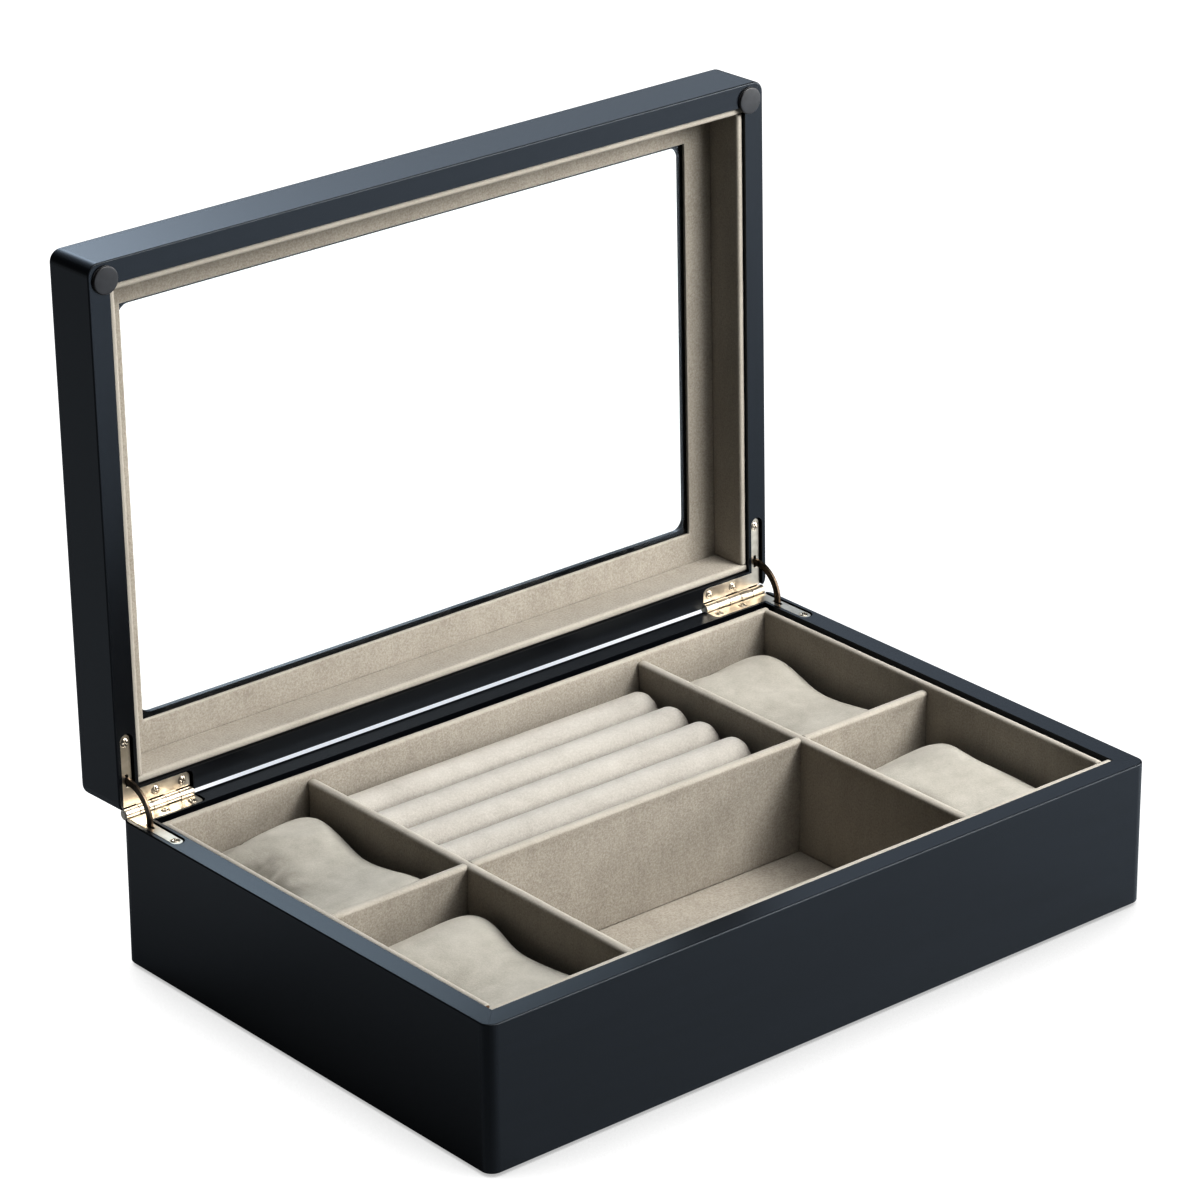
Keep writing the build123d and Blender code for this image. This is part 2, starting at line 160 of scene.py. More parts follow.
def floor_white():
    """The floor's paint.

    Looked at, it is white, with a painted contact shadow by the case on the side away from the
    key light, and a cool painted shadow where the open lid would shade it: four ramps multiplied
    make that soft patch. The lacquer mirrors it blue grey, paler far in front, and with painted
    shade on the left and a faint painted glow that grows towards the back. To other rays it is
    dark grey, and throws little light up.
    """
    material = new_material("floor_paint")
    seen = add(material, "LightPath").outputs
    watched = maths(material, "MAXIMUM", seen["Is Camera Ray"], seen["Is Transmission Ray"])
    # Painted contact shadow: the white dims where ambient occlusion, turned to the key light, is
    # low.
    contact = add(
        material, "AmbientOcclusion", {"Distance": contact_reach, "Normal": key_way}, samples=8,
    ).outputs["AO"]
    spot = add(material, "SeparateXYZ", {0: add(material, "TexCoord").outputs["Object"]}).outputs
    # Painted shadow of the open lid: four ramps multiplied make a cool soft patch.
    lid_shade = 1.0
    for axis, low, high, from_low, from_high in lid_shade_edges:
        side = ranged(material, spot[axis], low, high, from_low, from_high)
        lid_shade = maths(material, "MULTIPLY", side, lid_shade)
    white = add(material, "Emission", {
        "Color": blended(material, lid_shade, (1, 1, 1, 1), (0.60, 0.635, 0.69, 1)),
        "Strength": ranged(material, contact, 0.52, 1.22, from_low=0.2, from_high=0.85),
    })
    grey = add(material, "BsdfDiffuse", {"Color": (0.17, 0.17, 0.165, 1)})
    # What the lacquer mirrors: painted shade left of the case, paler far in front.
    beside = ranged(material, spot["X"], 1.0, 0.0, from_low=-0.18, from_high=-0.14)
    far_off = ranged(material, spot["Y"], 1.0, 0.0, from_low=-0.65, from_high=-0.30)
    tint = blended(material, far_off, (0.46, 0.50, 0.545, 1), (0.62, 0.69, 0.78, 1))
    tint = blended(material, beside, tint, (0.24, 0.26, 0.285, 1))
    mirrored = add(material, "BsdfDiffuse", {"Color": tint})
    # A painted glow, seen only in the lacquer, beside the case and growing towards the back.
    behind = ranged(material, spot["Y"], 0.06, 0.24, from_low=0.06, from_high=0.16)
    glow = add(material, "Emission", {
        "Color": (0.90, 0.95, 1.0, 1), "Strength": maths(material, "MULTIPLY", beside, behind),
    })
    lit = add(material, "AddShader", {0: mirrored.outputs[0], 1: glow.outputs[0]})
    unseen = add(material, "MixShader", {
        0: seen["Is Glossy Ray"], 1: grey.outputs[0], 2: lit.outputs[0],
    })
    return finish_with(material, add(material, "MixShader", {
        0: watched, 1: unseen.outputs[0], 2: white.outputs[0],
    }))


floor_mesh = bpy.data.meshes.new("studio_floor")
floor_mesh.from_pydata(
    [(-floor_half, -floor_half, 0), (floor_half, -floor_half, 0),
     (floor_half, floor_half, 0), (-floor_half, floor_half, 0)],
    [], [(0, 1, 2, 3)],
)
floor_mesh.materials.append(floor_white())
studio_floor = bpy.data.objects.new("studio_floor", floor_mesh)
bpy.context.scene.collection.objects.link(studio_floor)

world = bpy.data.worlds.new("studio")
world.use_nodes = True
sky = world.node_tree.nodes["Background"]
sky.inputs["Color"].default_value = (0.93, 0.96, 1.0, 1)
sky.inputs["Strength"].default_value = 0.012
bpy.context.scene.world = world
bpy.context.scene.view_settings.view_transform = "Standard"
bpy.context.scene.view_settings.gamma = 0.8

area_light("key_light", (0.50, -0.62, 0.74), (0.05, -0.05, 0), 0.46, 0.46, 14.8, (1.0, 1.0, 0.985))
area_light("front_panel", (1.62, -1.14, 0.35), (0, 0, 0.18), 0.9, 0.7, 29, (1.0, 1.0, 0.99))
area_light("top_panel", (0.20, -0.42, 1.58), (0, -0.02, 0.05), 0.9, 0.9, 13.4, (1.0, 1.0, 1.0))
area_light(
    "back_panel", (0.60, 1.60, 1.46), (0.60, 0, 1.46), 1.2, 1.6, 18.0, (0.74, 0.86, 1.0), roll=42.6,
)
area_light("side_panel", (1.45, 1.70, 1.05), (1.45, 0, 1.05), 1.9, 1.1, 7.2, (0.76, 0.87, 1.0))


# Case walls
# Solid wood with mitred corners under satin black lacquer. The grain only just shows through
# the paint, and the edges are a little paler and duller where hands rub them; their paleness is
# partly a painted highlight.

def noise(material, place, scale, detail=2.0, roughness=0.5, distortion=0.0):
    """A noise pattern with so many waves to the metre, as its output socket."""
    return add(material, "TexNoise", {
        "Vector": place, "Scale": scale, "Detail": detail,
        "Roughness": roughness, "Distortion": distortion,
    }).outputs["Fac"]


def stretched(material, place, scales):
    """The same place with each axis scaled, so that a noise runs out into streaks."""
    return add(material, "Mapping", {"Vector": place, "Scale": scales}).outputs["Vector"]


grain_across = 320.0
grain_along = 14.0
peel_dulls = 0.02
rubbing_dulls = 0.3
edge_highlight_and_wear_pales = 0.25
rounding_dulls = 0.25


def lacquer(name, along):
    """Satin black lacquer: a long faint grain along one axis and a fine orange peel.

    It is rubbed paler and duller where the bevelled normal leaves the face's own; the paler
    edge is partly a painted highlight. On the rounded edges, where no part of the normal is
    near 1, it is less glossy than on the flats.
    """
    material = new_material(name)
    coordinates = add(material, "TexCoord").outputs
    place = coordinates["Object"]
    scales = [grain_across] * 3
    scales["xyz".index(along)] = grain_along
    grain = noise(material, stretched(material, place, scales), 1.0)
    peel = noise(material, place, 1500.0, detail=1)
    haze = noise(material, place, 9.0)
    soft_edge = add(material, "Bevel", {"Radius": 0.4 * MM}, samples=4).outputs["Normal"]
    face = add(material, "NewGeometry").outputs["Normal"]
    alike = add(
        material, "VectorMath", {0: soft_edge, 1: face}, operation="DOT_PRODUCT",
    ).outputs["Value"]
    rubbed_and_highlit = ranged(material, alike, 1.0, 0.0, from_low=0.80, from_high=0.99)
    rubbed_and_highlit = maths(material, "MULTIPLY", rubbed_and_highlit, ranged(material, haze, 0.3, 1.0))
    paint = blended(
        material, ranged(material, grain, 0.0, 1.0),
        (0.0012, 0.0017, 0.0030, 1), (0.0026, 0.0034, 0.0056, 1),
    )
    # Paler edges: wear, and partly a painted highlight along them.
    pale_edge_share = maths(material, "MULTIPLY", rubbed_and_highlit, edge_highlight_and_wear_pales)
    colour = blended(material, pale_edge_share, paint, (0.016, 0.018, 0.022, 1))
    gloss = ranged(material, haze, 0.240, 0.255)
    gloss = maths(material, "MULTIPLY_ADD", peel, peel_dulls, gloss)
    gloss = maths(material, "MULTIPLY_ADD", rubbed_and_highlit, rubbing_dulls, gloss)
    facing = add(material, "VectorMath", {0: coordinates["Normal"]}, operation="ABSOLUTE")
    part = add(material, "SeparateXYZ", {0: facing.outputs["Vector"]}).outputs
    flatness = maths(material, "MAXIMUM", part["X"], part["Y"])
    flatness = maths(material, "MAXIMUM", flatness, part["Z"])
    rounding = ranged(material, flatness, 1.0, 0.0, from_low=0.90, from_high=0.995)
    gloss = maths(material, "MULTIPLY_ADD", rounding, rounding_dulls, gloss)
    bump = add(material, "Bump", {"Strength": 0.1, "Distance": 0.001 * MM, "Height": grain})
    return finish_with(material, add(material, "BsdfPrincipled", {
        "Base Color": colour, "Roughness": gloss, "Specular IOR Level": 0.5,
        "Specular Tint": (0.84, 0.92, 1.0, 1), "Normal": bump.outputs["Normal"],
    }))


def dress(node, material):
    """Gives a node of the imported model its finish."""
    piece = frame["nodes"][node]
    piece.data.materials.clear()
    piece.data.materials.append(material)


lacquer_along = {axis: lacquer("lacquer_grain_" + axis, axis) for axis in "xyz"}
for node, axis in (
    ("base_front_wall", "x"), ("base_back_wall", "x"),
    ("base_left_wall", "y"), ("base_right_wall", "y"),
):
    dress(node, lacquer_along[axis])


# Bottom panel and feet
# A painted fibreboard panel closes the case from below, and four black rubber pads keep
# it off the table.

def panel_paint():
    """A thin coat of matt black over fibreboard, dusty and a little patchy."""
    material = new_material("panel_paint")
    place = add(material, "TexCoord").outputs["Object"]
    patches = noise(material, place, 24.0, detail=5, roughness=0.65)
    fibres = noise(material, place, 900.0, detail=3, roughness=0.7)
    colour = blended(
        material, ranged(material, patches, 0.0, 1.0),
        (0.012, 0.012, 0.013, 1), (0.026, 0.025, 0.024, 1),
    )
    bump = add(material, "Bump", {"Strength": 0.5, "Distance": 0.05 * MM, "Height": fibres})
    return finish_with(material, add(material, "BsdfPrincipled", {
        "Base Color": colour, "Roughness": ranged(material, fibres, 0.62, 0.85),
        "Normal": bump.outputs["Normal"],
    }))


def rubber(name, dark, light, smooth, coarse, level):
    """Black rubber with a fine pebbled skin and a grey bloom, between two roughnesses."""
    material = new_material(name)
    place = add(material, "TexCoord").outputs["Object"]
    pebbles = noise(material, place, 1900.0, roughness=0.6)
    bloom = noise(material, place, 260.0, detail=4, roughness=0.7)
    colour = blended(material, ranged(material, bloom, 0.0, 1.0), dark, light)
    bump = add(material, "Bump", {"Strength": 0.8, "Distance": 0.06 * MM, "Height": pebbles})
    return finish_with(material, add(material, "BsdfPrincipled", {
        "Base Color": colour, "Roughness": ranged(material, pebbles, smooth, coarse),
        "Specular IOR Level": level, "Sheen Weight": 0.16, "Sheen Roughness": 0.4,
        "Normal": bump.outputs["Normal"],
    }))


dress("base_bottom_panel", panel_paint())
foot_rubber = rubber("foot_rubber", (0.012, 0.012, 0.012, 1), (0.03, 0.03, 0.029, 1), 0.7, 0.95, 0.5)
dress("base_feet", foot_rubber)


# Floor, side boards and cross dividers
# Thin fibreboard wrapped in taupe suede and slipped into the case. The suede is folded over
# the free edge of each board, which is painted paler, as worn nap and as a painted highlight;
# the left board stops short of the front one, so that its raw brown end shows.

# Dark nap colour, for painted shade in nooks and marks, and for pressed nap.
shade_and_crushed_nap = (0.115, 0.106, 0.090, 1)


def suede(name, deep, light, wear_and_highlight, patch_scale, patch_share, nook_reach, nook_shade):
    """Napped suede: fine grain, brushed patches and a soft sheen.

    It is paler where worn and where a highlight is painted on top; darker by painted shade and
    pressed nap where marked; and darker by painted shade in nooks.
    """
    material = new_material(name)
    place = add(material, "TexCoord").outputs["Object"]
    patches = noise(material, place, patch_scale, detail=3, roughness=0.55, distortion=0.9)
    streaks = stretched(material, place, (170.0, 170.0, 46.0))
    brushed = noise(material, streaks, 1.0, detail=3, distortion=0.4)
    grain = noise(material, place, 1250.0, detail=3, roughness=0.72)
    fibres = noise(material, place, 4200.0, detail=1)
    tone = maths(material, "MULTIPLY_ADD", grain, 1.0 - 2 * patch_share, 0.0)
    tone = maths(material, "MULTIPLY_ADD", patches, patch_share, tone)
    tone = maths(material, "MULTIPLY_ADD", brushed, patch_share, tone)
    colour = blended(material, ranged(material, tone, 0.0, 1.0, 0.36, 0.64), deep, light)
    # Paler where the mesh marks it: worn nap, and a highlight painted on top.
    fold = add(material, "Attribute", attribute_name="wear_and_highlight").outputs["Fac"]
    wear_and_highlight_share = maths(material, "MULTIPLY", fold, ranged(material, patches, 0.35, 0.8))
    colour = blended(material, wear_and_highlight_share, colour, wear_and_highlight)
    # A mark of painted shade and pressed nap, broken up by noise.
    shaded_and_pressed = add(material, "Attribute", attribute_name="shaded_and_pressed").outputs["Fac"]
    shade_breakup = noise(material, place, 75.0, distortion=0.6)
    shaded_and_pressed = maths(material, "MULTIPLY", shaded_and_pressed, ranged(material, shade_breakup, 0.3, 1.0, 0.40, 0.60))
    colour = blended(material, shaded_and_pressed, colour, shade_and_crushed_nap)
    # Painted shade: darker in nooks, where ambient occlusion finds little open space.
    open_share = add(material, "AmbientOcclusion", {"Distance": nook_reach}, samples=6).outputs["AO"]
    painted_nook_shade = ranged(material, open_share, nook_shade, 0.0, 0.40, 0.90)
    colour = blended(material, painted_nook_shade, colour, shade_and_crushed_nap)
    height = maths(material, "MULTIPLY_ADD", fibres, 0.5, grain)
    bump = add(material, "Bump", {"Strength": 0.55, "Distance": 0.16 * MM, "Height": height})
    return finish_with(material, add(material, "BsdfPrincipled", {
        "Base Color": colour, "Roughness": ranged(material, grain, 0.84, 0.98),
        "Specular IOR Level": 0.15, "Sheen Weight": 0.22, "Sheen Roughness": 0.45,
        "Sheen Tint": (1.0, 0.97, 0.92, 1), "Normal": bump.outputs["Normal"],
    }))


def raw_board():
    """The cut end of a fibreboard: brown and coarse."""
    material = new_material("raw_board")
    place = add(material, "TexCoord").outputs["Object"]
    chips = noise(material, place, 2400.0, detail=4, roughness=0.75)
    colour = blended(
        material, ranged(material, chips, 0.0, 1.0), (0.07, 0.035, 0.018, 1), (0.26, 0.15, 0.085, 1),
    )
    bump = add(material, "Bump", {"Strength": 0.9, "Distance": 0.12 * MM, "Height": chips})
    return finish_with(material, add(material, "BsdfPrincipled", {
        "Base Color": colour, "Roughness": ranged(material, chips, 0.8, 1.0),
        "Normal": bump.outputs["Normal"],
    }))


def write_value(mesh, name, values):
    """Writes a number for each point of a mesh, as an attribute that materials can read."""
    attribute = mesh.attributes.get(name) or mesh.attributes.new(name, "FLOAT", "POINT")
    attribute.data.foreach_set("value", values.astype(np.float32))


def skin(name, rings, wear_and_highlight, material, body, cap_material=None, closed=False):
    """A closed surface through rings of points, each end shut by a fan to its middle.

    rings is an array (rings, points round, 3), and the quads join each point to the next one
    round and along. Where closed, the last ring joins the first and there are no fans. A shape
    whose volume comes out negative has its faces turned round. The wear array says how pale each
    point is painted, for worn nap and as a painted highlight, as an array (rings, points round).
    The cap material goes on the first fan.
    """
    count, around = rings.shape[:2]
    index = np.arange(count * around).reshape(count, around)
    rows = np.vstack([index, index[:1]]) if closed else index
    beside = np.roll(rows, -1, axis=1)
    quads = np.stack([rows[:-1], beside[:-1], beside[1:], rows[1:]], axis=-1).reshape(-1, 4)
    fans = np.empty((0, 3), int)
    points = rings.reshape(-1, 3)
    values = wear_and_highlight.ravel()
    if not closed:
        start, end = count * around, count * around + 1
        first_fan = np.stack([beside[0], index[0], np.full(around, start)], axis=-1)
        last_fan = np.stack([index[-1], beside[-1], np.full(around, end)], axis=-1)
        fans = np.vstack([first_fan, last_fan])
        points = np.vstack([points, rings[0].mean(axis=0), rings[-1].mean(axis=0)])
        values = np.concatenate([values, [wear_and_highlight[0].mean(), wear_and_highlight[-1].mean()]])
    corners = points[np.vstack([quads[:, [0, 1, 2]], quads[:, [0, 2, 3]], fans])]
    volume = np.einsum("ij,ij->i", corners[:, 0], np.cross(corners[:, 1], corners[:, 2])).sum()
    if volume < 0:
        quads, fans = quads[:, ::-1], fans[:, ::-1]
    mesh = bpy.data.meshes.new(name)
    mesh.from_pydata(points.tolist(), [], quads.tolist() + fans.tolist())
    mesh.shade_smooth()
    write_value(mesh, "wear_and_highlight", values)
    mesh.materials.append(material)
    if cap_material:
        mesh.materials.append(cap_material)
        numbers = np.zeros(len(mesh.polygons), np.int32)
        numbers[len(quads):len(quads) + around] = 1
        mesh.polygons.foreach_set("material_index", numbers)
    piece = bpy.data.objects.new(name, mesh)
    bpy.context.scene.collection.objects.link(piece)
    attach(piece, body)
    return piece


def rounded_section(width, height, low_radius, high_radius, step):
    """A rounded rectangle about the origin, as points (n, 2) and outward normals (n, 2).

    Each corner is a quarter circle of six points; the sides between them have a point
    every step, so that they can be made to ripple.
    """
    turn = np.linspace(0, math.pi / 2, 6)
    points, normals = [], []
    for quarter, (side, up) in enumerate(((1, 1), (-1, 1), (-1, -1), (1, -1))):
        radius = high_radius if up > 0 else low_radius
        angle = turn + quarter * math.pi / 2
        normal = np.stack([np.cos(angle), np.sin(angle)], axis=1)
        middle = np.array([side * (width / 2 - radius), up * (height / 2 - radius)])
        points.append(middle + radius * normal)
        normals.append(normal)
    outline, outward = [], []
    for corner in range(4):
        here, there = points[corner], points[(corner + 1) % 4]
        pieces = max(2, round(np.linalg.norm(there[0] - here[-1]) / step))
        share = np.linspace(0, 1, pieces + 1)[1:-1, None]
        outline += [here, here[-1] + share * (there[0] - here[-1])]
        outward += [normals[corner], np.repeat(normals[corner][-1:], len(share), axis=0)]
    return np.vstack(outline), np.vstack(outward)


def ripples(along, around, seed, shortest, longest, waves=7):
    """Smooth uneven waves from 0 to 1: a sum of sines of random length, direction and start."""
    draw = np.random.RandomState(seed)
    total = np.zeros(np.broadcast(along, around).shape)
    for _ in range(waves):
        wave = 2 * math.pi / draw.uniform(shortest, longest)
        way = draw.uniform(0, math.pi)
        start = draw.uniform(0, 2 * math.pi)
        total += np.sin(wave * (along * math.cos(way) + around * math.sin(way)) + start)
    return 0.5 + total / (2 * waves)


suede_step = 4 * MM
suede_end_radius = 0.5 * MM
suede_end_rings = 5
suede_slack = 0.16 * MM
suede_ripple = (24 * MM, 90 * MM)
fold_reach = 3.2 * MM
divider_fold = 0.75 * MM
divider_nose = 1.55 * MM


def wrapped(name, low, high, along, free, material, body, seed,
            free_radius=1.3 * MM, fixed_radius=0.6 * MM, fold=0.0, moved=None, cap_material=None):
    """A board wrapped in suede, between two corners, with its length along axis 0 or 1.

    Its rounded section is carried along the length. Within the end radius of each end the
    section is drawn in by a quarter circle. The suede then sinks by up to the slack, in waves.
    Near the free edge both faces stand out by the fold, less a bell of the distance from it.
    free is 1 where the upper edge is the free one, -1 for the lower and 0 for neither. moved
    is a function that takes the points to their place.
    """
    low, high = np.array(low), np.array(high)
    size = high - low
    across = 1 - along
    low_radius = free_radius if free < 0 else fixed_radius
    high_radius = free_radius if free > 0 else fixed_radius
    step = suede_step / 2
    section, outward = rounded_section(size[across], size[2], low_radius, high_radius, step)
    from_free = size[2] / 2 - section[:, 1] * free
    section[:, 0] += fold * outward[:, 0] * np.exp(-(from_free / fold_reach) ** 2)
    turn_in = np.linspace(0, math.pi / 2, suede_end_rings)
    inner = np.linspace(0, size[along], max(3, round(size[along] / suede_step)) + 1)
    inner = inner[(inner > 2 * suede_end_radius) & (inner < size[along] - 2 * suede_end_radius)]
    near_end = suede_end_radius * (1 - np.sin(turn_in))
    draw_in = suede_end_radius * (1 - np.cos(turn_in))
    position = np.concatenate([near_end[::-1], inner, size[along] - near_end])
    inset = np.concatenate([draw_in[::-1], np.zeros(len(inner)), draw_in])
    length_of = np.arange(len(section)) * step
    sink = suede_slack * ripples(position[:, None], length_of[None, :], seed, *suede_ripple)
    flat = section[None, :, :] - (inset[:, None, None] + sink[:, :, None]) * outward[None, :, :]
    rings = np.empty((len(position), len(section), 3))
    rings[:, :, along] = (low[along] + position)[:, None]
    rings[:, :, across] = (low[across] + high[across]) / 2 + flat[:, :, 0]
    rings[:, :, 2] = (low[2] + high[2]) / 2 + flat[:, :, 1]
    if moved:
        rings = moved(rings)
    # The rounding over the free edge is painted paler: worn nap and a painted highlight.
    top_edge_wear_and_highlight = np.clip(outward[:, 1] * free, 0, 1) ** 0.5
    wear_and_highlight = np.broadcast_to(top_edge_wear_and_highlight, sink.shape)
    return skin(name, rings, wear_and_highlight, material, body, cap_material)


board_suede = suede(
    "board_suede", (0.300, 0.270, 0.229, 1), (0.455, 0.420, 0.370, 1), (0.47, 0.44, 0.39, 1),
    patch_scale=30.0, patch_share=0.14, nook_reach=10 * MM, nook_shade=0.12,
)
board_core = raw_board()
side_boards = (("front", 0), ("back", 0), ("left", 1), ("right", 1))
for number, (side, along) in enumerate(side_boards):
    node = "base_" + side + "_lining"
    low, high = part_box(node)
    board = wrapped(
        "suede_" + side + "_board", low, high, along, 1, board_suede, "case",
        10 + number, cap_material=board_core if side == "left" else None,
    )
    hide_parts(node)

low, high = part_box("base_floor_lining")
floor_pad = wrapped("suede_floor", low, high, 0, 0, board_suede, "case", 20)
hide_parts("base_floor_lining")

for number, node in enumerate(("left_cross_divider", "right_cross_divider")):
    low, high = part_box(node)
    divider = wrapped(
        "suede_" + node, low, high, 1, 1, board_suede, "case", 30 + number,
        free_radius=divider_nose, fold=divider_fold,
    )
    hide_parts(node)


# Long divider
# One suede-covered board that is halved over the two cross dividers and pressed down on them,
# so that it shows in three lengths. Each length goes a little way into the suede that it meets.

lap_press = 0.4 * MM
low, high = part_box("long_divider")
span_ends = [low.x]
for node in ("left_cross_divider", "right_cross_divider"):
    cross_low, cross_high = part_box(node)
    span_ends += [cross_low.x + lap_press, cross_high.x - lap_press]
span_ends.append(high.x)
for number, part in enumerate(("left", "middle", "right")):
    span_low = (span_ends[2 * number], low.y, low.z)
    span_high = (span_ends[2 * number + 1], high.y, high.z)
    span = wrapped(
        "suede_long_divider_" + part, span_low, span_high, 0, 1, board_suede,
        "case", 40 + number, free_radius=divider_nose, fold=divider_fold,
    )
    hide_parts("long_divider")


# Ring rolls on their tray
# Five foam rods side by side, each sleeved in suede and glued down on a raised tray. The
# sleeves are gathered into domed ends.

roll_suede = suede(
    "roll_suede", (0.370, 0.344, 0.311, 1), (0.494, 0.468, 0.431, 1), (0.61, 0.585, 0.54, 1),
    patch_scale=42.0, patch_share=0.16, nook_reach=5 * MM, nook_shade=0.40,
)
low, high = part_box("roll_tray")
tray = wrapped(
    "suede_roll_tray", low, high, 0, 0, roll_suede, "case", 50, fixed_radius=1.2 * MM,
)
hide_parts("roll_tray")

roll_rings = 90
roll_points = 48
roll_dome = 7.5 * MM
roll_dome_power = 2.3
roll_end_turn = 0.012
roll_gathers = 11
roll_gather_depth = 0.018
roll_gather_reach = 3.5 * MM
roll_slack = 0.18 * MM
roll_ripple = (22 * MM, 80 * MM)
roll_least_radius = 0.1 * MM
roll_stands_proud = 1.9 * MM
roll_crown_wear_and_highlight = 0.5


def ring_roll(name, node, seed):
    """A stuffed roll along X, flat where it is glued down.

    The radius is the node's, less up to the slack in ripples. Near an end it falls to nothing
    as a superellipse, and the gathers are a sine round the roll that fades away from the end.
    Its neighbours squeeze it, so that above its middle it is stretched to stand proud. The
    paler top, painted for wear and as a highlight, goes with the cube of the angle's sine, and is
    most along the crown.
    """
    low, high = (np.array(corner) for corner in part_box(node))
    half = (high[0] - low[0]) / 2
    radius = (high[1] - low[1]) / 2
    axis_z = high[2] - radius
    run = -np.cos(np.linspace(roll_end_turn, math.pi - roll_end_turn, roll_rings)) * half
    angle = np.linspace(0, 2 * math.pi, roll_points, endpoint=False)
    from_end = (half - np.abs(run))[:, None]
    dome = np.clip(from_end / roll_dome, 0, 1)
    swell = (1 - (1 - dome) ** roll_dome_power) ** (1 / roll_dome_power)
    fade = np.exp(-from_end / roll_gather_reach)
    gather = np.sin(roll_gathers * angle[None, :] + seed) * fade * swell
    waves = ripples(run[:, None], angle[None, :] * radius, seed, *roll_ripple)
    reach = radius * swell * (1 + roll_gather_depth * gather) - roll_slack * waves
    reach = np.minimum(np.maximum(reach, roll_least_radius), radius)
    rings = np.empty(reach.shape + (3,))
    rings[:, :, 0] = ((low[0] + high[0]) / 2 + run)[:, None]
    rings[:, :, 1] = (low[1] + high[1]) / 2 + reach * np.cos(angle)
    rings[:, :, 2] = np.maximum(axis_z + reach * np.sin(angle), low[2])
    rings[:, :, 2] += roll_stands_proud * np.maximum(rings[:, :, 2] - axis_z, 0) / radius
    # The top of the roll is painted paler: wear and a painted highlight.
    wear_and_highlight = np.clip(np.sin(angle), 0, 1)[None, :] ** 3 * roll_crown_wear_and_highlight * np.ones_like(reach)
    roll = skin(name, rings, wear_and_highlight, roll_suede, "case")
    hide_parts(node)


for number in range(1, 6):
    ring_roll("suede_ring_roll_" + str(number), "ring_roll_" + str(number), 60 + number)


# Watch pillows
# Four loose suede pillows, stuffed full at the ends and drawn in at the waist. Each is a shell
# of the right shape that is then filled as cloth is, by pressure from inside.

pillow_suede = suede(
    "pillow_suede", (0.345, 0.323, 0.281, 1), (0.488, 0.461, 0.410, 1), (0.56, 0.535, 0.485, 1),
    patch_scale=44.0, patch_share=0.30, nook_reach=6 * MM, nook_shade=0.25,
)
pillow_stations = (-1.0, -0.45, 0.05, 0.5, 1.0)
pillow_rings = 72
pillow_points = 80
pillow_end_turn = math.pi / 2 * 0.985
pillow_end_power = 9
pillow_end_root = 2.4
pillow_end_width = 0.88
pillow_end_height = 0.62
pillow_end_steepness = 2.2
pillow_waist_reach = 0.30
pillow_side_power = 4.8
pillow_crown_power = 4.0
pillow_clearance = 0.4 * MM
pillow_stands_proud = 3.5 * MM
pillow_crown_wear_and_highlight = 0.5
cloth_voxel = 2.2 * MM
cloth_pinned = 2.5 * MM
cloth_scale = 5.0
cloth_cap = 0.9 * MM
cloth_frames = 20


def pillow_shell(low, high, heights, draw, waist, lean, dimple):
    """The rings of a pillow along Y, between two corners of its box, before it is filled.

    v runs from -1 at the front to 1 at the back. The height is the quartic through five heights
    at the stations along v, and leans to the right by the first lean at the front and the second
    at the back. The half width is the box's less a bell of the draw at the waist. Both are
    drawn in at the ends by a superellipse, and each section is a superellipse that is flat
    where it rests. The dimple is a bell pressed down into the crown.
    """
    middle = (low + high) / 2
    half = (high - low) / 2
    v = np.sin(np.linspace(-pillow_end_turn, pillow_end_turn, pillow_rings))
    angle = np.linspace(0, 2 * math.pi, pillow_points, endpoint=False)
    bell = np.exp(-((v - waist) / pillow_waist_reach) ** 2)
    end = (1 - np.abs(v) ** pillow_end_power) ** (1 / pillow_end_root)
    shut = np.minimum(1, end * pillow_end_steepness)
    rise = np.polyval(np.polyfit(pillow_stations, heights, 4), v) * MM
    width = half[0] * (1 - draw * bell) * (pillow_end_width + (1 - pillow_end_width) * end) * shut
    tall = rise * (pillow_end_height + (1 - pillow_end_height) * end) * shut
    cos, sin = np.cos(angle), np.sin(angle)
    x = width[:, None] * np.sign(cos) * np.abs(cos) ** (2 / pillow_side_power)
    up = np.sign(sin) * np.abs(sin) ** (2 / pillow_crown_power)
    upper = np.maximum(up, 0)
    over = (lean[0] + (lean[1] - lean[0]) * (v + 1) / 2)[:, None] * MM * x / half[0] * upper
    rings = np.empty(x.shape + (3,))
    rings[:, :, 0] = middle[0] + x
    rings[:, :, 1] = (middle[1] + v * half[1])[:, None]
    rings[:, :, 2] = low[2] + (rise / 2)[:, None] + tall[:, None] / 2 * up + over
    depth, across, back, reach_x, reach_y = (value * MM for value in dimple)
    press = np.exp(-((x - across) / reach_x) ** 2 - ((v * half[1] - back)[:, None] / reach_y) ** 2)
    rings[:, :, 2] -= depth * press * upper
    rings[:, :, 2] = np.maximum(rings[:, :, 2], low[2])
    return rings


def mesh_points(mesh):
    """A mesh's points as an array."""
    points = np.empty(len(mesh.vertices) * 3)
    mesh.vertices.foreach_get("co", points)
    return points.reshape(-1, 3)


def baked(piece, name):
    """The mesh of a piece as its modifiers leave it."""
    graph = bpy.context.evaluated_depsgraph_get()
    mesh = bpy.data.meshes.new_from_object(piece.evaluated_get(graph))
    mesh.name = name
    return mesh


